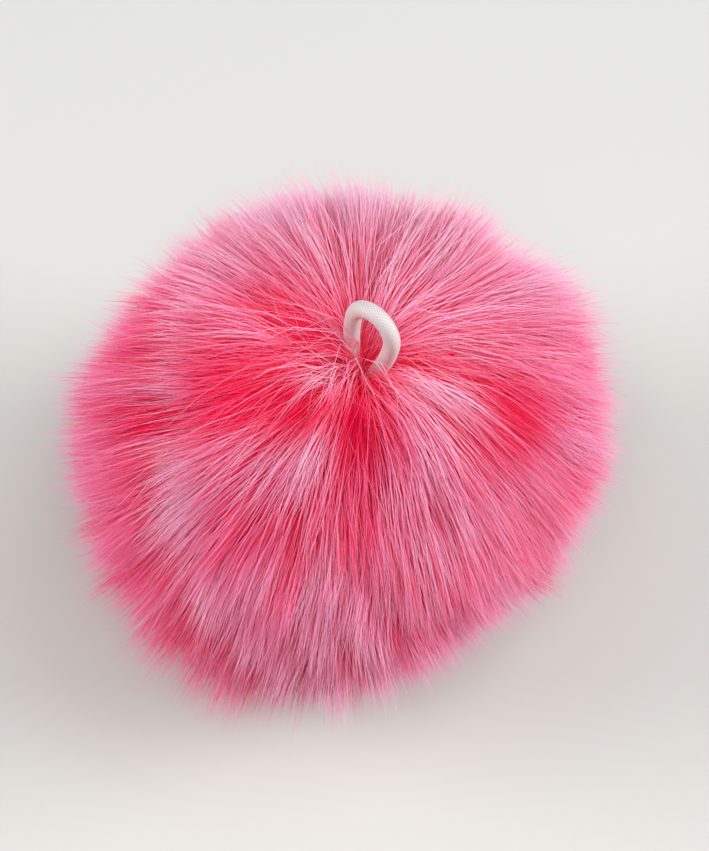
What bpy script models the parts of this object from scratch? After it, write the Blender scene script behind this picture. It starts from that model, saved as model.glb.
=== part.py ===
"""A fluffy ball pom pom of long-pile fur fabric, with a short elastic loop standing in its gather.

Metres, +Z up. The origin is on the surface that the ball rests on, right under the ball's centre.
Two pieces: the gathered ball of fabric with its pile in locks, and the elastic cord folded into a loop.
Run it with blender --background --python part.py, or from Blender's text editor.
"""

import math

import bmesh
import bpy
import numpy as np
from mathutils import Matrix, Quaternion, Vector

# Driving dimensions, in metres.
PILE_REACH = 0.0497  # from the ball's centre to the tips of the pile, round its middle
CENTRE_HEIGHT = 0.0415  # the ball's centre above the surface, with the pile under it pressed short
BACKING_RADIUS = 0.020  # the gathered ball of fabric that the pile grows from
CORD_DIAMETER = 0.0030
LOOP_HEIGHT = 0.0255  # from the loop's foot in the gather to the middle of the cord at its top
LOOP_WIDTH = 0.0086  # between the middles of the loop's two legs, where they are widest apart
ARCH_RISE = 0.0049  # from where the legs are widest apart to the top, both at the middle of the cord
LEG_GAP = 0.0034  # between the middles of the legs at the loop's foot
CLEARANCE = 0.0003  # between the loop's ends and the fabric that they stand on

# The gather: where the fabric's edge is drawn together, and where the loop comes out.
GATHER_TILT = math.radians(8)  # from straight up
GATHER_AZIMUTH = math.radians(32)  # from +X towards +Y
GATHER_OPENING = math.radians(8)  # how far the pile is held open round it

# The pile is laid out in six square fields of locks, like the sides of a cube blown up into a ball.
FIELD_LOCKS = 7  # along each side of a field
FIELD_TURN = math.radians(18)  # about Z
FIELD_WANDER = 0.24  # how far a lock's corners stray, in widths of a lock

# The pile leans away from the gather, more towards its tips.
LEAN = math.radians(14)
LEAN_SPREAD = math.radians(60)
LEAN_GROWTH = 1.4

# Swells and hollows of the pile. Azimuth is from +X towards +Y, and height is above the horizon, in degrees.
# Gain is the change of the pile's reach in the middle of the form, as a share of PILE_REACH.
PILE_FORMS = (
    {"form": "crown hollow", "azimuth": 32, "height": 82, "spread": 26, "gain": -0.10},
    {"form": "right shoulder", "azimuth": 60, "height": 12, "spread": 26, "gain": 0.08},
    {"form": "back notch", "azimuth": 86, "height": 22, "spread": 9, "gain": -0.05},
    {"form": "back hollow", "azimuth": 135, "height": 30, "spread": 42, "gain": -0.075},
    {"form": "left shoulder", "azimuth": 248, "height": -14, "spread": 34, "gain": 0.06},
    {"form": "right hollow", "azimuth": 0, "height": -20, "spread": 32, "gain": -0.14},
)

# Each lock narrows from its root to a point. Share is how far out the ring is, and width is of its field.
LOCK_RINGS = (
    {"share": 0.00, "width": 0.90},
    {"share": 0.34, "width": 0.88},
    {"share": 0.72, "width": 0.64},
)
FLOOR_RING = {"share": 1.00, "width": 0.54}  # the level end of a lock that the surface stops
TIP_WANDER = 0.26  # how far a tip strays from the middle of its lock, in widths of a lock
LENGTH_SPREAD = 0.03  # how much longer or shorter one lock is than the next
SEED = 11

CORD_RESOLUTION = 2  # 8 sides
LEG_STEPS = 9
ARCH_STEPS = 9

FUR_COLOUR = (0.72, 0.090, 0.185)
CORD_COLOUR = (0.86, 0.82, 0.81)

UP = Vector((0.0, 0.0, 1.0))
CENTRE = UP * CENTRE_HEIGHT


def pointing(azimuth, height):
    """The unit vector at this azimuth and height above the horizon."""
    level = math.cos(height)
    return Vector((level * math.cos(azimuth), level * math.sin(azimuth), math.sin(height)))


GATHER = pointing(GATHER_AZIMUTH, math.pi / 2 - GATHER_TILT)


def clear_scene():
    for thing in list(bpy.data.objects):
        bpy.data.objects.remove(thing)


def add_material(name, colour, roughness):
    made = bpy.data.materials.new(name)
    made.use_nodes = True
    shader = made.node_tree.nodes["Principled BSDF"]
    shader.inputs["Base Color"].default_value = (*colour, 1.0)
    shader.inputs["Roughness"].default_value = roughness
    shader.inputs["Metallic"].default_value = 0.0
    return made


def add_object(name, data, material):
    data.materials.append(material)
    made = bpy.data.objects.new(name, data)
    bpy.context.scene.collection.objects.link(made)
    return made


def turned_away(direction, angle):
    """direction, turned by angle away from the gather."""
    return Quaternion(GATHER.cross(direction), angle) @ direction


def free_reach(direction):
    """From the centre to the tips of the pile where nothing presses it."""
    reach = PILE_REACH
    for form in PILE_FORMS:
        middle = pointing(math.radians(form["azimuth"]), math.radians(form["height"]))
        away = middle.angle(direction) / math.radians(form["spread"])
        reach += PILE_REACH * form["gain"] * math.exp(-away * away)
    return reach


def leaned(direction, share):
    """Where the pile that leaves the backing along direction points to, this share of the way out."""
    away = direction.angle(GATHER) / LEAN_SPREAD
    return turned_away(direction, LEAN * share**LEAN_GROWTH * math.exp(-away * away))


def floor_reach(direction):
    """From the centre to the surface below, along the way that the pile's tips point."""
    fall = -leaned(direction, 1.0).z
    return CENTRE_HEIGHT / fall if fall > 0 else math.inf


def pile_point(direction, share, reach):
    """The place of this share of a strand of pile, from the backing out to its reach or to the surface."""
    reach = min(reach, floor_reach(direction))
    return CENTRE + leaned(direction, share) * (BACKING_RADIUS + share * (reach - BACKING_RADIUS))


def lay_out_fields(mesh, corner_of, chance):
    """Makes a cube of FIELD_LOCKS squares a side, with each point given its direction from the ball's centre."""
    bmesh.ops.create_cube(mesh, size=2.0)
    bmesh.ops.subdivide_edges(mesh, edges=mesh.edges[:], cuts=FIELD_LOCKS - 1, use_grid_fill=True)
    lock_width = math.pi / 2 / FIELD_LOCKS
    field_turn = Matrix.Rotation(FIELD_TURN, 3, "Z")
    tilt_axis = UP.cross(GATHER)
    for vert in mesh.verts:
        even = Vector([math.tan(along * math.pi / 4) for along in vert.co]).normalized()
        stray = Vector(chance.uniform(-1, 1, 3)) * lock_width * FIELD_WANDER
        at_pole = math.hypot(even.x, even.y) < lock_width
        direction = field_turn @ (even if at_pole else (even + stray).normalized())
        tilt = GATHER_TILT * (1 + direction.z) / 2
        direction = Quaternion(tilt_axis, tilt) @ direction
        away = direction.angle(GATHER)
        direction = turned_away(direction, math.hypot(away, GATHER_OPENING) - away)
        vert[corner_of] = direction
        vert.co = CENTRE + direction * BACKING_RADIUS


def describe_lock(face, corner_of, chance):
    middle = sum((vert[corner_of] for vert in face.verts), Vector()).normalized()
    width = math.sqrt(face.calc_area()) / BACKING_RADIUS
    return {
        "middle": middle,
        "stray": Vector(chance.uniform(-1, 1, 3)) * width * TIP_WANDER,
        "reach": free_reach(middle) * (1 + chance.uniform(-LENGTH_SPREAD, LENGTH_SPREAD)),
    }


def set_ring(face, lock, ring, corner_of):
    """Puts the lock's end face at this ring of it, on a line from the middle of its root to its tip."""
    axis = lock["middle"] + lock["stray"] * ring["share"] ** 2
    for vert in face.verts:
        direction = (axis + (vert[corner_of] - lock["middle"]) * ring["width"]).normalized()
        vert.co = pile_point(direction, ring["share"], lock["reach"])


def add_fur_ball(material):
    """The gathered ball of fabric with its pile: four-sided locks that stand apart, fused to one backing."""
    chance = np.random.default_rng(SEED)
    mesh = bmesh.new()
    corner_of = mesh.verts.layers.float_vector.new("corner")
    lock_of = mesh.faces.layers.int.new("lock")
    lay_out_fields(mesh, corner_of, chance)
    mesh.faces.sort(key=lambda face: face.calc_center_median().dot(GATHER))
    ends = mesh.faces[:-1]  # all but the field at the gather, which stays bare
    locks = [describe_lock(face, corner_of, chance) for face in ends]
    for number, face in enumerate(ends):
        face[lock_of] = number
    for ring in LOCK_RINGS:
        ends = bmesh.ops.extrude_discrete_faces(mesh, faces=ends)["faces"]
        for face in ends:
            set_ring(face, locks[face[lock_of]], ring, corner_of)
    for face in ends:
        lock = locks[face[lock_of]]
        if floor_reach(lock["middle"]) < lock["reach"]:
            lock["reach"] = math.inf
            level_end = bmesh.ops.extrude_discrete_faces(mesh, faces=[face])["faces"][0]
            set_ring(level_end, lock, FLOOR_RING, corner_of)
            continue
        tip = bmesh.ops.poke(mesh, faces=[face])["verts"][0]
        tip.co = pile_point((lock["middle"] + lock["stray"]).normalized(), 1.0, lock["reach"])
    data = bpy.data.meshes.new("fur_ball")
    mesh.to_mesh(data)
    mesh.free()
    return add_object("fur_ball", data, material)


def loop_outline():
    """Half of the loop as (out from its middle line, up from its foot): a leg, then a quarter of the round top."""
    half_width, half_gap = LOOP_WIDTH / 2, LEG_GAP / 2
    leg_height = LOOP_HEIGHT - ARCH_RISE
    points = []
    for step in range(LEG_STEPS):
        share = step / LEG_STEPS
        spread = (1 - math.cos(math.pi * share)) / 2
        points.append((half_gap + (half_width - half_gap) * spread, leg_height * share))
    for step in range(ARCH_STEPS + 1):
        angle = math.pi / 2 * step / ARCH_STEPS
        points.append((half_width * math.cos(angle), leg_height + ARCH_RISE * math.sin(angle)))
    return points


def add_elastic_loop(material):
    """The elastic cord folded in two, both ends standing in the gather, in line with it."""
    foot_height = BACKING_RADIUS * math.cos(GATHER_OPENING) + CLEARANCE
    foot = CENTRE + GATHER * foot_height
    across = (Vector((1, 0, 0)) - GATHER * GATHER.x).normalized()
    half = loop_outline()
    outline = [(-out, up) for out, up in half] + [(out, up) for out, up in reversed(half[:-1])]
    curve = bpy.data.curves.new("elastic_loop", "CURVE")
    curve.dimensions = "3D"
    curve.bevel_depth = CORD_DIAMETER / 2
    curve.bevel_resolution = CORD_RESOLUTION
    curve.use_fill_caps = True
    spline = curve.splines.new("POLY")
    spline.points.add(len(outline) - 1)
    for point, (out, up) in zip(spline.points, outline):
        point.co = (*(foot + across * out + GATHER * up), 1.0)
    spline.use_smooth = True
    return add_object("elastic_loop", curve, material)


def main():
    clear_scene()
    add_fur_ball(add_material("fur fabric pile", FUR_COLOUR, 0.9))
    add_elastic_loop(add_material("covered elastic cord", CORD_COLOUR, 0.75))


main()
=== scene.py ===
import math

import bpy
import numpy as np
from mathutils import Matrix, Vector


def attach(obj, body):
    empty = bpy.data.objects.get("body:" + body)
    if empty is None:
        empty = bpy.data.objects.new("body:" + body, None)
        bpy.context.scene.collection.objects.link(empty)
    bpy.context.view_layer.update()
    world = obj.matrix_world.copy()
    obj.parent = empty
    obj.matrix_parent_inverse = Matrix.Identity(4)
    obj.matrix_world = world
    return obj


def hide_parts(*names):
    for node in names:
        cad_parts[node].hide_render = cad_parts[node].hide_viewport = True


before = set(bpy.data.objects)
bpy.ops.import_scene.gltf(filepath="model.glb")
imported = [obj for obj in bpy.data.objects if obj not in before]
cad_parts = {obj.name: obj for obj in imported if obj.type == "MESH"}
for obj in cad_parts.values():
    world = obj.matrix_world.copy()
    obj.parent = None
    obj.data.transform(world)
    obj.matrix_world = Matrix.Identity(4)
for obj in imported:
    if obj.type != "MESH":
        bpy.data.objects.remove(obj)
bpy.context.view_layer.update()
print("frame loaded:", ", ".join(sorted(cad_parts)))

# tools

up = np.array([0.0, 0.0, 1.0])


def toLinear(colour):
    # sRGB hex to linear: c/12.92 below 0.04045, else ((c + 0.055)/1.055)^2.4
    c = np.array([int(colour[i:i + 2], 16) for i in (1, 3, 5)]) / 255
    return (*np.where(c <= 0.04045, c / 12.92, ((c + 0.055) / 1.055) ** 2.4), 1.0)


def unit(v):
    # v / |v| along the last axis
    return v / np.linalg.norm(v, axis=-1, keepdims=True)


def pointing(azimuth, height):
    # degrees to a direction: (cos h cos a, cos h sin a, sin h)
    a, h = math.radians(azimuth), math.radians(height)
    return np.array([math.cos(h) * math.cos(a), math.cos(h) * math.sin(a), math.sin(h)])


def angleTo(d, axis):
    # acos(d . axis) in radians, kept just off its ends
    return np.arccos(np.clip((d * axis).sum(-1), -1 + 1e-7, 1 - 1e-7))


def turnedAway(d, axis, angle):
    # d cos(angle) + s sin(angle), s square to d and pointing away from axis
    side = unit(d * (d * axis).sum(-1, keepdims=True) - axis + 1e-9)
    return d * np.cos(angle)[..., None] + side * np.sin(angle)[..., None]


def bell(x):
    # exp(-x^2)
    return np.exp(-x * x)


def nearTo(d, place, spread):
    # bell(t / spread), t the angle from d to the place, an azimuth and a height in degrees
    return bell(angleTo(d, pointing(*place)) / math.radians(spread))


def addNode(tree, kind, settings=None, links=None):
    # one node, its sockets and settings by name or number, and what feeds its sockets
    node = tree.nodes.new(kind)
    for name, value in (settings or {}).items():
        if isinstance(name, int) or name in node.inputs:
            node.inputs[name].default_value = value
        else:
            setattr(node, name, value)
    for name, source in (links or {}).items():
        tree.links.new(source, node.inputs[name])
    return node


def addMaterial(name):
    # a new material, its tree and its shader
    material = bpy.data.materials.new(name)
    material.use_nodes = True
    tree = material.node_tree
    return material, tree, tree.nodes["Principled BSDF"]


def addPiece(name, points, faces, material, uv=None, smooth=True):
    # points (n, 3), faces (m, k) with -1 where a face has fewer corners, uv a pair for each corner
    mesh = bpy.data.meshes.new(name)
    sizes = (faces >= 0).sum(1)
    corners = faces[faces >= 0]
    mesh.vertices.add(len(points))
    mesh.vertices.foreach_set("co", points.astype(np.float32).ravel())
    mesh.loops.add(len(corners))
    mesh.loops.foreach_set("vertex_index", corners.astype(np.int32))
    mesh.polygons.add(len(faces))
    mesh.polygons.foreach_set("loop_start", (np.cumsum(sizes) - sizes).astype(np.int32))
    mesh.polygons.foreach_set("use_smooth", np.full(len(faces), smooth))
    if uv is not None:
        layer = mesh.uv_layers.new(name="OFBake")
        layer.uv.foreach_set("vector", uv.astype(np.float32).ravel())
    mesh.update(calc_edges=True)
    mesh.materials.append(material)
    piece = bpy.data.objects.new(name, mesh)
    bpy.context.scene.collection.objects.link(piece)
    return piece


# the pile's shape, in the same sizes as its solid

ball = {
    "centreHeight": 0.0415,
    "backingRadius": 0.020,  # the gathered ball of fabric that the pile grows from
    "reach": 0.0497,  # from the centre to the tips, before the forms below
    "gatherAzimuth": 32,
    "gatherHeight": 82,
    "floorGap": 0.0003,  # between the lowest strands and the floor
}
centre = up * ball["centreHeight"]
gather = pointing(ball["gatherAzimuth"], ball["gatherHeight"])
gatherSide = unit(np.cross(gather, up))  # square to the gather, and gatherFront square to both
gatherFront = np.cross(gather, gatherSide)

# swells and hollows of the pile, by where its tips are: at is an azimuth, from +X towards +Y, and a height above the
# horizon, spread is how far the form goes, all in degrees, and gain is a share of the reach
pileForms = (
    {"form": "crown hollow", "at": (32, 82), "spread": 26, "gain": -0.10},
    {"form": "right shoulder", "at": (60, 12), "spread": 26, "gain": 0.08},
    {"form": "back notch", "at": (86, 22), "spread": 9, "gain": -0.05},
    {"form": "back hollow", "at": (135, 30), "spread": 42, "gain": -0.075},
    {"form": "left shoulder", "at": (248, -14), "spread": 34, "gain": 0.06},
    {"form": "right hollow", "at": (0, -20), "spread": 32, "gain": -0.14},
)

# smaller ones at the outline, in the same terms
outlineForms = (
    {"form": "right", "at": (50, 9), "spread": 12, "gain": -0.08},
    {"form": "upper right", "at": (80, 27), "spread": 8, "gain": -0.06},
    {"form": "notch edge", "at": (98, 33), "spread": 9, "gain": 0.08},
    {"form": "wisp", "at": (128, 38), "spread": 4, "gain": 0.05},
    {"form": "top", "at": (150, 36), "spread": 12, "gain": -0.005},
    {"form": "upper left", "at": (-174, 26), "spread": 11, "gain": -0.11},
    {"form": "left brow", "at": (-158, 19), "spread": 11, "gain": -0.085},
    {"form": "left", "at": (-124, 1), "spread": 12, "gain": -0.055},
    {"form": "lower left", "at": (-77, -20), "spread": 10, "gain": 0.125},
    {"form": "front", "at": (-38, -23), "spread": 13, "gain": -0.02},
    {"form": "front right", "at": (-16, -19), "spread": 9, "gain": -0.055},
    {"form": "lower right", "at": (9, -9), "spread": 8, "gain": 0.085},
)

# pits, by where the tips are: strands that end there are shorter, and those that pass lean away from the middle
pits = (
    {"pit": "left", "at": (-73, 68), "spread": 7, "gain": -0.12, "lean": 3, "leanSpread": 9, "still": 2},
    {"pit": "right", "at": (14, 48), "spread": 7, "gain": -0.12, "lean": 2, "leanSpread": 12, "still": 3},
    {"pit": "front", "at": (-38, 56), "spread": 8, "gain": -0.12, "lean": 2, "leanSpread": 12, "still": 4},
    {"pit": "back", "at": (93, 60), "spread": 8, "gain": -0.10, "lean": 6, "leanSpread": 14, "still": 4},
)

# swathes: strands rooted round the start lean leanBy times as far as others, turn towards the end by some degrees,
# and are longer, paler and more often frizzy
swathes = (
    {"swathe": "left crest", "start": (-60, 79), "end": (-74, 69), "spread": 8, "leanBy": 0.6, "turn": 0,
     "gain": 0.0, "pale": 0.6, "frizz": 0.35},
    {"swathe": "light lock", "start": (10, 76), "end": (16, 44), "spread": 6, "leanBy": 1.0, "turn": 8, "gain": 0.05,
     "pale": 0.5, "frizz": 0.0},
    {"swathe": "fringe", "start": (-24, 76), "end": (-44, 50), "spread": 6, "leanBy": 0.7, "turn": 0, "gain": 0.02,
     "pale": 0.1, "frizz": 0.1},
)

# partings: strands rooted round over lean away from the parting's start, not from the gather
partings = (
    {"parting": "left", "start": (-72, 68), "over": (-98, 44), "spread": 28},
    {"parting": "right", "start": (14, 50), "over": (18, 24), "spread": 20},
)

# the shelf where the upper pile ends, a circle round its axis that counts only near its middle: strands with their
# tips inside it are paler, a painted highlight on the upper pile's ends, and those beyond it are shorter and deeper in
# colour, painted shade under the upper pile's edge
shelf = {
    "axis": (23, 38),
    "angle": 91.5,
    "middle": (-112, 38),
    "along": 50,
    "edge": 0.8,
    "steepest": 30,
    "pale": 0.9,
    "lift": 0.55,
    "paleWidth": 5,
    "deep": 0.28,
    "deepWidth": 10,
    "drop": 0.07,
}

# painted light and shade on the pile: paler on the rims at the back, front and right, a painted highlight, and deeper
# in the pits, furrows, crown and left brow, painted shade; the right brow, crest, ridge and light lock are paler. Where
# a strand passes, pale is added to its tint, and deep is taken off how far out its colour is
tonesWithPaintedLightAndShade = (
    {"tone": "back rim", "at": (125, 45), "spread": 45, "pale": 0.80, "deep": -0.17},
    {"tone": "left brow", "at": (-148, 46), "spread": 18, "pale": -0.05, "deep": 0.15},
    {"tone": "front rim", "at": (-50, 2), "spread": 26, "pale": 0.40, "deep": -0.14},
    {"tone": "right rim", "at": (0, 15), "spread": 28, "pale": 0.30, "deep": -0.08},
    {"tone": "crown", "at": (-30, 72), "spread": 28, "pale": 0.0, "deep": 0.13},
    {"tone": "left pit", "at": (-76, 67), "spread": 7, "pale": -0.4, "deep": 0.60},
    {"tone": "left furrow", "at": (-110, 60), "spread": 8, "pale": -0.2, "deep": 0.25},
    {"tone": "front pit", "at": (-37, 61), "spread": 8, "pale": -0.2, "deep": 0.26},
    {"tone": "right pit", "at": (18, 44), "spread": 8, "pale": -0.2, "deep": 0.42},
    {"tone": "right brow", "at": (30, 62), "spread": 10, "pale": 0.3, "deep": -0.35},
    {"tone": "crest", "at": (-66, 76), "spread": 5, "pale": 1.2, "deep": -0.6},
    {"tone": "ridge", "at": (-58, 59), "spread": 5, "pale": 0.4, "deep": -0.3},
    {"tone": "light lock", "at": (11, 65), "spread": 5, "pale": 1.0, "deep": -0.55},
    {"tone": "light lock end", "at": (14, 56), "spread": 5, "pale": 1.2, "deep": -0.6},
)


def pastShelf(d):
    # degrees past the shelf, how near its middle 0..1, and the step up across it 1/(1 + exp(-past/edge)), with
    # past/edge kept within what exp can take
    past = np.degrees(angleTo(d, pointing(*shelf["axis"]))) - shelf["angle"]
    slope = np.clip(past / shelf["edge"], -shelf["steepest"], shelf["steepest"])
    return past, nearTo(d, shelf["middle"], shelf["along"]), 1 / (1 + np.exp(-slope))


def pileReach(d):
    # from the centre to the tips along d: reach (1 + the sum of gain exp(-(t / spread)^2)), t the angle to each form
    gain = np.zeros(d.shape[:-1])
    for form in (*pileForms, *outlineForms):
        gain += form["gain"] * nearTo(d, form["at"], form["spread"])
    return ball["reach"] * (1 + gain)


def floored(d, radius):
    # radius, or what reaches the floor along d if that is less: (h - gap) / -dz
    fall = np.maximum(-d[..., 2], 1e-6)
    return np.minimum(radius, (ball["centreHeight"] - ball["floorGap"]) / fall)


# materials

# colours from root to end: the crimson deep in the pile is painted shade filled with red light, the ends are paler
pileFinishAndPaintedShade = {
    "root": "#F2004A",
    "middle": "#F31868",
    "upper": "#F05090",
    "tip": "#EE92C0",
    "palest": "#F6D6E4",
    "rootEnd": 0.20,
    "middleAt": 0.45,
    "upperAt": 0.75,
    "paleShare": 0.6,
    "roughness": 0.5,
    "specular": 0.12,
    "ior": 1.49,
}


def acrylicPileWithPaintedShade():
    # acrylic fibre, spun, dyed and sheared: light that has gone from strand to strand comes back crimson, and that is
    # painted here as a crimson shade deep in the pile; the ends are a chalky pink
    material, tree, shader = addMaterial("acrylic pile with painted shade")
    place = addNode(tree, "ShaderNodeUVMap", {"uv_map": "OFBake"})
    axes = addNode(tree, "ShaderNodeSeparateXYZ", links={"Vector": place.outputs["UV"]})
    along = addNode(tree, "ShaderNodeValToRGB", links={"Fac": axes.outputs["Y"]})
    ramp = along.color_ramp
    ramp.elements[0].position = pileFinishAndPaintedShade["rootEnd"]
    ramp.elements[0].color = toLinear(pileFinishAndPaintedShade["root"])
    ramp.elements[1].color = toLinear(pileFinishAndPaintedShade["tip"])
    ramp.elements.new(pileFinishAndPaintedShade["middleAt"]).color = toLinear(pileFinishAndPaintedShade["middle"])
    ramp.elements.new(pileFinishAndPaintedShade["upperAt"]).color = toLinear(pileFinishAndPaintedShade["upper"])
    pale = addNode(tree, "ShaderNodeMath", {"operation": "MULTIPLY", 1: pileFinishAndPaintedShade["paleShare"]},
                   {0: axes.outputs["X"]})
    atTip = addNode(tree, "ShaderNodeMath", {"operation": "MULTIPLY"}, {0: pale.outputs[0], 1: axes.outputs["Y"]})
    colour = addNode(tree, "ShaderNodeMix", {"data_type": "RGBA", 7: toLinear(pileFinishAndPaintedShade["palest"])},
                     {0: atTip.outputs[0], 6: along.outputs["Color"]})
    tree.links.new(colour.outputs[2], shader.inputs["Base Color"])
    shader.inputs["Roughness"].default_value = pileFinishAndPaintedShade["roughness"]
    shader.inputs["IOR"].default_value = pileFinishAndPaintedShade["ior"]
    shader.inputs["Specular IOR Level"].default_value = pileFinishAndPaintedShade["specular"]
    return material


packedFinishAndPaintedShade = {
    # darker in the noise's hollows: painted shade between clumps of ends
    "hollow": "#D80038",
    "hollowAt": 0.35,
    "lump": "#FA2A6C",
    "lumpAt": 0.65,
    "clump": 0.0006,
    "detail": 4,
    "roughness": 0.9,
    "specular": 0.1,
}


def packedPileCloth():
    # the same pile seen end on, packed too close to tell its strands apart: crimson, partly its dye and partly painted
    # red light from deep in the pile, and redder and darker in the noise's hollows, painted shade between clumps of
    # ends; an end is 0.1 mm across, too fine to show, so the noise is drawn as coarse as clumps of ends, 0.6 mm
    material, tree, shader = addMaterial("packed acrylic pile")
    place = addNode(tree, "ShaderNodeTexCoord")
    clumps = addNode(tree, "ShaderNodeTexNoise", {"Scale": 1 / packedFinishAndPaintedShade["clump"], "Detail": packedFinishAndPaintedShade["detail"]},
                     {"Vector": place.outputs["Object"]})
    ramp = addNode(tree, "ShaderNodeValToRGB", links={"Fac": clumps.outputs["Fac"]})
    for element, part in zip(ramp.color_ramp.elements, ("hollow", "lump")):
        element.position = packedFinishAndPaintedShade[part + "At"]
        element.color = toLinear(packedFinishAndPaintedShade[part])
    tree.links.new(ramp.outputs["Color"], shader.inputs["Base Color"])
    shader.inputs["Roughness"].default_value = packedFinishAndPaintedShade["roughness"]
    shader.inputs["Specular IOR Level"].default_value = packedFinishAndPaintedShade["specular"]
    return material


boardFinish = {"paint": "#CFCFCB", "roughness": 0.9}


def paintedBoard():
    # matt painted board under the part: pale, with no gloss
    material, tree, shader = addMaterial("matt painted board")
    shader.inputs["Base Color"].default_value = toLinear(boardFinish["paint"])
    shader.inputs["Roughness"].default_value = boardFinish["roughness"]
    return material


# the pile, strand by strand

pile = {
    # how many, and how they gather: locks pull the tufts in, and crowding above 1 brings tufts to the gather
    "tufts": 4200,
    "strands": 20,
    "locks": 1500,
    "crowding": 1.2,
    "rootEdge": 2.5,
    "tuftScatter": 0.3,
    "lockScatter": 0.35,
    "strandScatter": 0.55,
    "lockPull": 0.5,
    "tuftPull": 0.48,
    # a strand: thickness in metres, bends and curls in degrees
    "thickness": 0.000114,
    "thicknessRange": (0.75, 1.2),
    "tuftBend": 1.5,
    "strandBend": 1.3,
    "curl": 0.5,
    "curls": 1.1,
    "frizzShare": 0.03,
    "frizzBend": 5.0,
    "frizzCurl": 2.4,
    "frizzShort": 0.06,
    "frizzThin": 0.25,
    "drifts": ({"waves": 10, "lowest": 2.0, "highest": 7.0, "bend": 5},
               {"waves": 12, "lowest": 9.0, "highest": 20.0, "bend": 3}),
    # length, as a share of the pile's reach
    "shortest": 0.82,
    "longest": 1.07,
    "lengthShape": (2.6, 1.6),
    "tuftUneven": 0.02,
    "lockUneven": 0.03,
    "strayShare": 0.05,
    "strayLonger": 0.06,
    "collar": 10.0,
    "collarShort": 0.34,
    # lean away from the gather, in degrees
    "lean": 34,
    "leanRange": (0.65, 1.25),
    "leanUneven": 0.1,
    "leanSpread": 58,
    "leanGrowth": 3.0,
    "hug": 3.0,
    "hugSpread": 9,
    # how fast each of these comes in along a strand: the power of its share
    "pullGrowth": 1.2,
    "bendGrowth": 1.6,
    "driftGrowth": 2,
    "lockGrowth": 1.5,
    "turnGrowth": 2,
    "pitGrowth": 1.6,
    # colour, from deep at the root to shallow at the face of the pile, the deep colour a painted shade, and how pale
    "dip": 0.14,
    "dipSpread": 18,
    "deep": 0.78,
    "shallow": 1.06,
    "lockDeep": 0.22,
    "tuftDeep": 0.08,
    "paleShape": (2, 3),
    "tuftTint": 0.75,
    "uvEdge": (0.02, 0.01),
    "uvWidth": 0.002,
    # shading, room round the loop, and the seed of all that is drawn at random
    "soften": 1.4,
    "softenOut": 0.2,
    "loopRoom": 0.0017,
    "loopNear": 0.02,
    "seed": 5,
}

# round the middle the pile is ruffled, and further round it lies smoother, with less of a lock to it
ruffle = {"middle": (-55, 55), "spread": 62, "least": 0.4}

# bands of the pile from the gather down: the share of the tufts at which each ends, the shares of a strand at which
# its rings and its tip are, and its width at each ring. Further down, strands bend less and have fewer rings
bands = (
    {"band": "crown", "end": 0.107, "shares": (0.30, 0.55, 0.76, 0.90, 1.0), "widths": (0.8, 1.0, 0.95, 0.75)},
    {"band": "shoulder", "end": 0.245, "shares": (0.35, 0.66, 0.86, 1.0), "widths": (0.9, 1.0, 0.85)},
    {"band": "brow", "end": 0.455, "shares": (0.50, 0.80, 1.0), "widths": (0.9, 0.95)},
    {"band": "side", "end": 0.685, "shares": (0.55, 0.80, 1.0), "widths": (0.9, 0.95)},
    {"band": "base", "end": 1.0, "shares": (0.60, 1.0), "widths": (1.0,)},
)


def spiralPlaces(count, edge):
    # a golden spiral round the gather, turning by pi (3 - sqrt 5) a step: cos t = c - (1 + c) x^crowding, c = cos(edge)
    i = np.arange(count)
    highest = math.cos(math.radians(edge))
    cosine = highest - (1 + highest) * ((i + 0.5) / count) ** pile["crowding"]
    turn = math.pi * (3 - math.sqrt(5)) * i
    sine = np.sqrt(1 - cosine**2)
    level = gatherSide * (sine * np.cos(turn))[:, None] + gatherFront * (sine * np.sin(turn))[:, None]
    return level + gather * cosine[:, None]


def flow(d, rng, waves, lowest, highest):
    # slow drift over the ball: the sum of a sin(f d . k + p) over the waves, / sqrt(waves)
    drift = np.zeros_like(d)
    for _ in range(waves):
        k, a = unit(rng.normal(size=3)), unit(rng.normal(size=3))
        drift += a * np.sin(rng.uniform(lowest, highest) * (d @ k) + rng.uniform(0, 2 * math.pi))[..., None]
    return drift / math.sqrt(waves)


def pushedOffLoop(points, route):
    # a point nearer than loopRoom to the loop's route is moved out along the line from it
    near = np.linalg.norm(points - route.mean(0), axis=-1) < pile["loopNear"]
    some = points[near]
    gap = some[:, None] - route[None]
    far = np.linalg.norm(gap, axis=-1)
    nearest = far.argmin(1)
    row = np.arange(len(some))
    distance = far[row, nearest]
    short = np.maximum(pile["loopRoom"] / np.maximum(distance, 1e-6) - 1, 0)
    points[near] = some + gap[row, nearest] * short[:, None]
    return points


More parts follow.
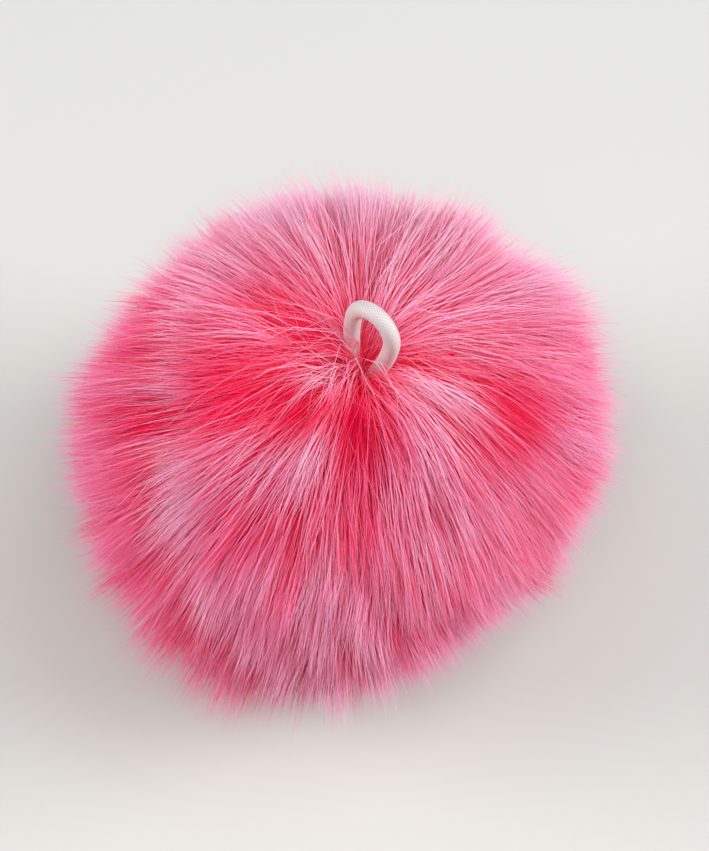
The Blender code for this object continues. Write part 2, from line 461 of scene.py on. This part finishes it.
def planPile():
    # what each tuft (n) and strand (n, m) is like: its place, bends, length, lean, tint and thickness, drawn at random
    rng = np.random.default_rng(pile["seed"])
    count, shape = pile["tufts"], (pile["tufts"], pile["strands"])
    spacing = math.sqrt(4 * math.pi / count)
    lockSpacing = math.sqrt(4 * math.pi / pile["locks"])
    tuft = spiralPlaces(count, pile["rootEdge"])
    tuft = unit(tuft + rng.normal(size=tuft.shape) * spacing * pile["tuftScatter"])
    locks = spiralPlaces(pile["locks"], pile["rootEdge"])
    locks = unit(locks + rng.normal(size=locks.shape) * lockSpacing * pile["lockScatter"])
    lockOf = (tuft @ locks.T).argmax(1)
    drift = sum(flow(tuft, rng, row["waves"], row["lowest"], row["highest"]) * math.radians(row["bend"])
                for row in pile["drifts"])
    drift += rng.normal(size=tuft.shape) * math.radians(pile["tuftBend"])
    ruffled = nearTo(tuft, ruffle["middle"], ruffle["spread"])[:, None]
    ruffled = ruffle["least"] + (1 - ruffle["least"]) * ruffled
    drift *= ruffled
    offset = rng.normal(size=(*shape, 3)) * spacing * pile["strandScatter"]
    length = pile["shortest"] + (pile["longest"] - pile["shortest"]) * rng.beta(*pile["lengthShape"], shape)
    uneven = rng.normal(1, pile["tuftUneven"], count)
    length *= (uneven * rng.normal(1, pile["lockUneven"], pile["locks"])[lockOf])[:, None]
    length += pile["strayLonger"] * (rng.random(shape) < pile["strayShare"])
    collar = bell(angleTo(tuft, gather) / math.radians(pile["collar"]))[:, None]
    length *= 1 - pile["collarShort"] * collar * rng.random(shape)
    leanBy = rng.normal(1, pile["leanUneven"], shape) * rng.normal(1, pile["leanUneven"], count)[:, None]
    leanBy *= rng.uniform(*pile["leanRange"], pile["locks"])[lockOf][:, None]
    pale, frizz = rng.beta(*pile["paleShape"], count), np.full(count, pile["frizzShare"])
    for row in swathes:
        here = nearTo(tuft, row["start"], row["spread"])
        length *= 1 + row["gain"] * here[:, None]
        leanBy *= 1 + (row["leanBy"] - 1) * here[:, None]
        pale += row["pale"] * here
        frizz += row["frizz"] * here
    frizzy = (rng.random(shape) < frizz[:, None])[..., None]
    bend = rng.normal(size=(*shape, 3)) * math.radians(pile["strandBend"])
    bend += frizzy * rng.normal(size=(*shape, 3)) * math.radians(pile["frizzBend"])
    curl = rng.normal(size=(*shape, 3)) * np.radians(pile["curl"] + pile["frizzCurl"] * frizzy)
    length *= 1 - pile["frizzShort"] * frizzy[..., 0]
    tint = pile["tuftTint"] * pale[:, None] + (1 - pile["tuftTint"]) * rng.random(shape)
    deep = rng.normal(0, pile["lockDeep"], pile["locks"])[lockOf] + rng.normal(0, pile["tuftDeep"], count)
    deep *= ruffled[:, 0]
    thickness = pile["thickness"] * rng.uniform(*pile["thicknessRange"], shape)
    thickness *= 1 - pile["frizzThin"] * frizzy[..., 0]
    spin = rng.uniform(0, 2 * math.pi, shape)
    toLock = (locks[lockOf] - tuft) * pile["lockPull"] * ruffled
    return {"tuft": tuft, "toLock": toLock, "drift": drift, "offset": offset, "bend": bend, "curl": curl,
            "length": length, "tint": tint, "deep": deep, "leanBy": leanBy, "thickness": thickness, "spin": spin,
            "ruffled": ruffled}


def strandPaths(plan, shares, route):
    # strand = centre + R(s) D(s), s its share of the length. D starts at the root on the backing, draws in to its
    # tuft and lock, bends, and leans away from the gather and the pits by lean exp(-(t/spread)^2) s^growth, later
    # in its length for those that hug the loop. Its waves are curl sin(2 pi curls s + spin). Its colour goes with
    # how near R is to the face of the pile, deeper down a painted shade, and with the painted light and shade that it
    # passes
    tuft, shape = plan["tuft"], plan["length"].shape
    growth = pile["leanGrowth"] + pile["hug"] * bell(angleTo(tuft, gather) / math.radians(pile["hugSpread"]))[:, None]
    pole = gather
    for row in partings:
        here = nearTo(tuft, row["over"], row["spread"])[:, None]
        pole = pole + here * (pointing(*row["start"]) - gather)
    pole = unit(pole)[:, None]
    levels = []
    for share in shares:
        pull = 1 - pile["tuftPull"] * share ** pile["pullGrowth"] * plan["ruffled"][..., None]
        d = tuft[:, None] + plan["offset"] * pull + plan["bend"] * share ** pile["bendGrowth"]
        d = d + plan["curl"] * np.sin(2 * math.pi * pile["curls"] * share + plan["spin"])[..., None]
        drawn = plan["drift"] * share ** pile["driftGrowth"] + plan["toLock"] * share ** pile["lockGrowth"]
        d = unit(d + drawn[:, None])
        lean = math.radians(pile["lean"]) * bell(angleTo(d, pole) / math.radians(pile["leanSpread"]))
        d = turnedAway(d, pole, lean * share**growth * plan["leanBy"])
        for row in swathes:
            here = nearTo(tuft, row["start"], row["spread"])
            turn = np.broadcast_to(math.radians(row["turn"]) * here[:, None] * share ** pile["turnGrowth"], shape)
            d = turnedAway(d, -pointing(*row["end"]), turn)
        for pit in pits:
            ring = nearTo(d, pit["at"], pit["leanSpread"]) - nearTo(d, pit["at"], pit["still"])
            d = turnedAway(d, pointing(*pit["at"]), math.radians(pit["lean"]) * ring * share ** pile["pitGrowth"])
        levels.append(d)
    reach = pileReach(levels[-1]) * plan["length"]
    for pit in pits:
        reach *= 1 + pit["gain"] * nearTo(levels[-1], pit["at"], pit["spread"])
    past, near, step = pastShelf(levels[-1])
    reach *= 1 - shelf["drop"] * near * step * bell(past / shelf["deepWidth"])
    points, depths, tints = [], [], []
    for share, d in zip(shares, levels):
        radius = ball["backingRadius"] + share * (reach - ball["backingRadius"])
        # colour by how far out along the pile a point is: deeper down is painted shade
        face = pileReach(d) * (1 - pile["dip"] * bell(angleTo(d, gather) / math.radians(pile["dipSpread"])))
        depths.append((radius / face - pile["deep"]) / (pile["shallow"] - pile["deep"]) - plan["deep"][:, None])
        tints.append(plan["tint"])
        point = centre + d * floored(d, radius)[..., None]
        points.append(pushedOffLoop(point, route))
    # painted light and shade where each strand passes: the tones, then the shelf's highlight and shade
    for number, d in enumerate(levels):
        for tone in tonesWithPaintedLightAndShade:
            here = nearTo(d, tone["at"], tone["spread"])
            tints[number] = tints[number] + tone["pale"] * here
            depths[number] = depths[number] - tone["deep"] * here
        # the shelf: a painted highlight on the ends inside it, painted shade on the pile beyond it
        past, near, step = pastShelf(d)
        inside = near * (1 - step) * bell(past / shelf["paleWidth"])
        outside = near * step * bell(past / shelf["deepWidth"])
        tints[number] = tints[number] + shelf["pale"] * inside
        depths[number] = depths[number] + shelf["lift"] * inside - shelf["deep"] * outside
    levelCount = len(shares)
    return (np.stack(points, 2).reshape(-1, levelCount, 3), np.stack(depths, 2).reshape(-1, levelCount),
            np.stack(tints, 2).reshape(-1, levelCount))


def softenShading(mesh, points, faces):
    # light scatters round fine fibres: each corner's normal is unit(face + soften unit(up + softenOut outward))
    flat = np.empty(3 * len(faces), dtype=np.float32)
    mesh.polygons.foreach_get("normal", flat)
    kept = faces >= 0
    shared = unit(up + pile["softenOut"] * unit(points - centre))[faces[kept]]
    mesh.normals_split_custom_set(unit(np.repeat(flat.reshape(-1, 3), kept.sum(1), axis=0) + pile["soften"] * shared))


def strandPiece(name, paths, depths, tints, widths, plan, material):
    # three-sided tapering strands: ring j is p + r (a cos(q + 2 pi i/3) + b sin(q + 2 pi i/3)), a and b square to
    # the strand and q its own turn, and the last point is the tip
    n, rings = len(paths), len(widths)
    way = unit(paths[:, -1] - paths[:, 0])
    a = unit(np.cross(way, np.roll(way, 1, axis=1)))
    b = np.cross(way, a)
    turn = plan["spin"].ravel()[:, None] + 2 * math.pi * np.arange(3) / 3
    around = a[:, None] * np.cos(turn)[..., None] + b[:, None] * np.sin(turn)[..., None]
    radius = 0.5 * plan["thickness"].ravel()[:, None] * np.array(widths)
    body = paths[:, :rings, None] + around[:, None] * radius[..., None, None]
    points = np.concatenate([body.reshape(n, rings * 3, 3), paths[:, -1:]], 1)
    quads = [(3 * j + i, 3 * j + (i + 1) % 3, 3 * j + 3 + (i + 1) % 3, 3 * j + 3 + i)
             for j in range(rings - 1) for i in range(3)]
    tips = [(3 * rings - 3 + i, 3 * rings - 3 + (i + 1) % 3, 3 * rings, -1) for i in range(3)]
    one = np.array([(2, 1, 0, -1)] + quads + tips)
    faces = np.where(one < 0, -1, one + (np.arange(n) * (3 * rings + 1))[:, None, None])
    kept = one >= 0
    level = np.minimum(one // 3, rings)[kept]
    # u is the strand's tint, a sliver wide, and v how far out its colour is, both with painted light and shade in them,
    # both kept off the map's edge
    edgeU, edgeV = pile["uvEdge"]
    side = np.where(np.arange(4) % 3 == 0, -1, 1) * pile["uvWidth"]
    u = edgeU + (1 - 2 * edgeU) * np.clip(tints[:, level], 0, 1) + np.broadcast_to(side, one.shape)[kept]
    v = edgeV + (1 - 2 * edgeV) * np.clip(depths[:, level], 0, 1)
    uv = np.stack([u, v], -1).reshape(-1, 2)
    points, faces = points.reshape(-1, 3), faces.reshape(-1, 4)
    piece = addPiece(name, points, faces, material, uv, smooth=False)
    softenShading(piece.data, points, faces)
    return piece


def addPile(route):
    # the bands one by one, each a piece of its own, so that none has too many faces
    material = acrylicPileWithPaintedShade()
    plan = planPile()
    first = 0
    for row in bands:
        last = round(row["end"] * pile["tufts"])
        part = {name: values[first:last] for name, values in plan.items()}
        shares, widths = row["shares"], row["widths"]
        paths, depths, tints = strandPaths(part, shares, route)
        piece = strandPiece("pile_" + row["band"], paths, depths, tints, widths, part, material)
        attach(piece, "root")
        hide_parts("fur_ball")
        each = 1 + 6 * (len(widths) - 1) + 3  # a strand's triangles: its root, between its rings, and its tip
        print("pile", row["band"], len(paths), "strands", len(paths) * each, "triangles")
        first = last


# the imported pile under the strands, down to the gathered backing where the loop stands

packed = {
    "rings": 128,
    "round": 256,
    "share": 0.82,  # of the pile's reach
    "funnel": 11,  # degrees from the gather in which it goes down to the backing
    "pitShare": 0.9,  # of the pits in the strands
    "lump": 0.0006,
    "lumpFlow": {"waves": 24, "lowest": 20, "highest": 60},
    "rootGap": 0.0004,
    "floorGap": 0.001,
    "seed": 8,
}


def surfaceFaces(rows, columns, startPole, endPole):
    # quads of a closed band of rows x columns points, and a fan to a pole at each end
    i, j = np.meshgrid(np.arange(rows - 1), np.arange(columns), indexing="ij")
    k = (j + 1) % columns
    here, after = i * columns, (i + 1) * columns
    quads = np.stack([here + j, here + k, after + k, after + j], -1).reshape(-1, 4)
    j = np.arange(columns)
    k = (j + 1) % columns
    none = np.full(columns, -1)
    last = (rows - 1) * columns
    start = np.stack([k, j, np.full(columns, startPole), none], -1)
    end = np.stack([last + j, last + k, np.full(columns, endPole), none], -1)
    return np.concatenate([quads, start, end])


def packedPile():
    # R(t, p) = R0 + (share pitted(reach) + lumps - R0)(1 - exp(-(t/funnel)^2)), t the angle from the gather
    rows, columns = packed["rings"], packed["round"]
    t = math.pi * (np.arange(rows) + 0.5)[:, None] / rows
    p = 2 * math.pi * np.arange(columns)[None] / columns
    level = gatherSide * np.cos(p)[..., None] + gatherFront * np.sin(p)[..., None]
    d = gather * np.cos(t)[..., None] + level * np.sin(t)[..., None]
    rng = np.random.default_rng(packed["seed"])
    lumps = flow(d.reshape(-1, 3), rng, **packed["lumpFlow"])[:, 0].reshape(d.shape[:2])
    out = packed["share"] * pileReach(d) + packed["lump"] * lumps
    for pit in pits:
        out *= 1 + packed["pitShare"] * pit["gain"] * nearTo(d, pit["at"], pit["spread"])
    radius = ball["backingRadius"] - packed["rootGap"]
    radius = radius + (out - radius) * (1 - bell(np.degrees(t) / packed["funnel"]))
    radius = np.minimum(radius, floored(d, radius) - packed["floorGap"])
    points = (centre + d * radius[..., None]).reshape(-1, 3)
    poles = np.stack([centre + gather * radius[0].mean(), centre - gather * radius[-1].mean()])
    faces = surfaceFaces(rows, columns, rows * columns, rows * columns + 1)
    return addPiece("packed_pile", np.concatenate([points, poles]), faces, packedPileCloth())


piece = packedPile()
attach(piece, "root")
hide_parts("fur_ball")
print("pile packed")


# the elastic loop

acrossLoop = unit(np.array([1.0, 0, 0]) - gather * gather[0])  # from leg to leg

loop = {
    "diameter": 0.0030,
    "height": 0.0255,
    "width": 0.0086,  # between the middles of the legs, where they are widest apart
    "archRise": 0.0049,
    "legGap": 0.0034,
    "clearance": 0.0003,  # between the cord's ends and the backing
    "opening": 8,  # degrees that the pile is held open round the foot
    "steps": 800,
    "round": 40,
    "curveSteps": 200,
    "guideSteps": 81,  # points of the route that the strands keep off
    "carriers": 16,  # yarns of the braid round the cord
    "stitch": 0.00060,
    "yarnRelief": 0.00006,
    "endRound": 6,
    "endNarrow": 0.8,
    "white": "#D6CCCC",
    # painted shade in the dips between the braid's yarns
    "paintedDipShade": "#9A8E8E",
    "roughness": 0.55,
    "sheen": 0.3,
}


def loopRoute(count):
    # S-shaped legs out = gap + (half - gap)(1 - cos(pi h/H))/2 up to a half ellipse (half cos a, H + rise sin a),
    # mirrored, taken at even lengths along it, and set on foot + acrossLoop * out + gather * rise
    half, gap = loop["width"] / 2, loop["legGap"] / 2
    legHeight = loop["height"] - loop["archRise"]
    share, angle = np.linspace(0, 1, loop["curveSteps"]), np.linspace(0, math.pi / 2, loop["curveSteps"])[1:]
    out = np.concatenate([gap + (half - gap) * (1 - np.cos(math.pi * share)) / 2, half * np.cos(angle)])
    rise = np.concatenate([legHeight * share, legHeight + loop["archRise"] * np.sin(angle)])
    out, rise = np.concatenate([-out, out[-2::-1]]), np.concatenate([rise, rise[-2::-1]])
    length = np.concatenate([[0], np.cumsum(np.hypot(np.diff(out), np.diff(rise)))])
    even = np.linspace(0, length[-1], count)
    out, rise = np.interp(even, length, out), np.interp(even, length, rise)
    foot = centre + gather * (ball["backingRadius"] * math.cos(math.radians(loop["opening"])) + loop["clearance"])
    return foot + acrossLoop * out[:, None] + gather * rise[:, None], even


def braidedPolyesterCover():
    # fine polyester yarn braided round a rubber core: white and soft, with painted shade, grey specks, where two yarns
    # cross and dip: the darker share is (1 - max(|cos(a + b)|, |cos(a - b)|))^2, a round the cord and b along it
    material, tree, shader = addMaterial("braided polyester cover")
    place = addNode(tree, "ShaderNodeUVMap", {"uv_map": "OFBake"})
    axes = addNode(tree, "ShaderNodeSeparateXYZ", links={"Vector": place.outputs["UV"]})
    roundPhase, alongPhase = loop["carriers"] * math.pi, loop["ribs"] * math.pi
    a = addNode(tree, "ShaderNodeMath", {"operation": "MULTIPLY", 1: roundPhase}, {0: axes.outputs["X"]})
    b = addNode(tree, "ShaderNodeMath", {"operation": "MULTIPLY", 1: alongPhase}, {0: axes.outputs["Y"]})
    yarns = []
    for way in ("ADD", "SUBTRACT"):
        both = addNode(tree, "ShaderNodeMath", {"operation": way}, {0: a.outputs[0], 1: b.outputs[0]})
        wave = addNode(tree, "ShaderNodeMath", {"operation": "COSINE"}, {0: both.outputs[0]})
        yarns.append(addNode(tree, "ShaderNodeMath", {"operation": "ABSOLUTE"}, {0: wave.outputs[0]}))
    high = addNode(tree, "ShaderNodeMath", {"operation": "MAXIMUM"}, {0: yarns[0].outputs[0], 1: yarns[1].outputs[0]})
    low = addNode(tree, "ShaderNodeMath", {"operation": "SUBTRACT", 0: 1.0}, {1: high.outputs[0]})
    dip = addNode(tree, "ShaderNodeMath", {"operation": "POWER", 1: 2.0}, {0: low.outputs[0]})
    colour = addNode(tree, "ShaderNodeMix", {"data_type": "RGBA", 6: toLinear(loop["white"]),
                                             7: toLinear(loop["paintedDipShade"])}, {0: dip.outputs[0]})
    tree.links.new(colour.outputs[2], shader.inputs["Base Color"])
    shader.inputs["Roughness"].default_value = loop["roughness"]
    shader.inputs["Sheen Weight"].default_value = loop["sheen"]
    return material


def elasticLoop():
    # a tube along the route: radius = r0 - relief + relief max(|cos(n p + pi l/q)|, |cos(n p - pi l/q)|), two
    # families of yarns that cross, p round the cord, l along it and q the length of a stitch; its ends are rounded
    # by sqrt(1 - narrow (1 - step/endRound)^2)
    route, length = loopRoute(loop["steps"])
    tangent = unit(np.gradient(route, axis=0))
    flat = np.broadcast_to(np.cross(acrossLoop, gather), route.shape)
    other = np.cross(tangent, flat)
    p = 2 * math.pi * np.arange(loop["round"]) / loop["round"]
    turn = math.pi * length[:, None] / loop["stitch"]
    n = loop["carriers"] / 2
    yarns = np.maximum(np.abs(np.cos(n * p + turn)), np.abs(np.cos(n * p - turn)))
    radius = loop["diameter"] / 2 - loop["yarnRelief"] * (1 - yarns)
    step = np.minimum(np.arange(len(route)), np.arange(len(route))[::-1])
    rounded = np.sqrt(1 - (1 - np.clip(step / loop["endRound"], 0, 1)) ** 2 * loop["endNarrow"])
    ring = flat[:, None] * np.cos(p)[:, None] + other[:, None] * np.sin(p)[:, None]
    points = (route[:, None] + ring * (radius * rounded[:, None])[..., None]).reshape(-1, 3)
    rows, columns = radius.shape
    faces = surfaceFaces(rows, columns, rows * columns, rows * columns + 1)
    row = np.concatenate([np.arange(rows * columns) // columns, [0, rows - 1]])[faces]
    column = np.where(faces >= rows * columns, 0, faces % columns)
    wraps = (column == 0) & (column.max(1) > columns / 2)[:, None]
    u = np.where(wraps, columns, column) / columns
    kept = faces >= 0
    uv = np.stack([u[kept], row[kept] / (rows - 1)], -1)
    return addPiece("elastic_loop_cover", np.concatenate([points, route[[0, -1]]]), faces, braidedPolyesterCover(), uv)


# whole stitches along the cord
loop["ribs"] = round(loopRoute(2)[1][-1] / loop["stitch"])
piece = elasticLoop()
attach(piece, "root")
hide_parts("elastic_loop")
print("loop braided")
addPile(loopRoute(loop["guideSteps"])[0])


# floor, light and camera

studio = {
    "floorSize": 2.4,
    "lightDistance": 2.0,
    "lightSize": 1.2,
    "world": "#FFFFFF",
    "worldStrength": 0.02,
    "bounces": 8,  # light goes from strand to strand many times before it comes out
    "cameraAzimuth": 42,
    "cameraHeight": 60,
    "cameraDistance": 0.40,
    "lens": 91,
    "clipStart": 0.01,
    "aimRight": 0.0025,
    "aimUp": 0.0033,
}

lights = (
    {"light": "right low softbox", "azimuth": 42, "height": 25, "power": 32.5},
    {"light": "right high softbox", "azimuth": 42, "height": 65, "power": 11.5},
    {"light": "left low softbox", "azimuth": 222, "height": 25, "power": 26},
    {"light": "left high softbox", "azimuth": 222, "height": 65, "power": 5},
    {"light": "front high softbox", "azimuth": 312, "height": 65, "power": 17.5},
)


def addFloor():
    # a square of floor, its middle under the part
    half = studio["floorSize"] / 2
    points = np.array([[-half, -half, 0], [half, -half, 0], [half, half, 0], [-half, half, 0]])
    return addPiece("floor", points, np.array([[0, 1, 2, 3]]), paintedBoard())


def facing(place, target):
    # a rotation that looks from place to target, with +Z up
    return Vector(target - place).to_track_quat("-Z", "Y").to_euler()


def addLights():
    # round soft lights that face the ball, and a faint even light from all round
    for row in lights:
        data = bpy.data.lights.new(row["light"], "AREA")
        data.shape, data.size, data.energy = "DISK", studio["lightSize"], row["power"]
        place = centre + pointing(row["azimuth"], row["height"]) * studio["lightDistance"]
        lamp = bpy.data.objects.new(row["light"], data)
        lamp.location, lamp.rotation_euler = place, facing(place, centre)
        bpy.context.scene.collection.objects.link(lamp)
    world = bpy.data.worlds.new("studio")
    world.use_nodes = True
    sky = world.node_tree.nodes["Background"]
    sky.inputs["Color"].default_value = toLinear(studio["world"])
    sky.inputs["Strength"].default_value = studio["worldStrength"]
    bpy.context.scene.world = world


def addCamera():
    # outward is the view's way back, from its azimuth (from -Y towards +X) and height; the aim is off the ball's
    # centre by a little to the right and up
    a, h = math.radians(studio["cameraAzimuth"]), math.radians(studio["cameraHeight"])
    outward = np.array([math.sin(a) * math.cos(h), -math.cos(a) * math.cos(h), math.sin(h)])
    right = np.array([math.cos(a), math.sin(a), 0])
    target = centre + right * studio["aimRight"] + np.cross(right, -outward) * studio["aimUp"]
    place = target + outward * studio["cameraDistance"]
    data = bpy.data.cameras.new("camera")
    data.lens = studio["lens"]
    data.clip_start = studio["clipStart"]
    camera = bpy.data.objects.new("camera", data)
    camera.location, camera.rotation_euler = place, facing(place, target)
    bpy.context.scene.collection.objects.link(camera)
    bpy.context.scene.camera = camera


addFloor()
addLights()
addCamera()
scene = bpy.context.scene
scene.view_settings.view_transform = "Standard"
scene.cycles.diffuse_bounces = studio["bounces"]
print("studio set")

bpy.context.view_layer.update()
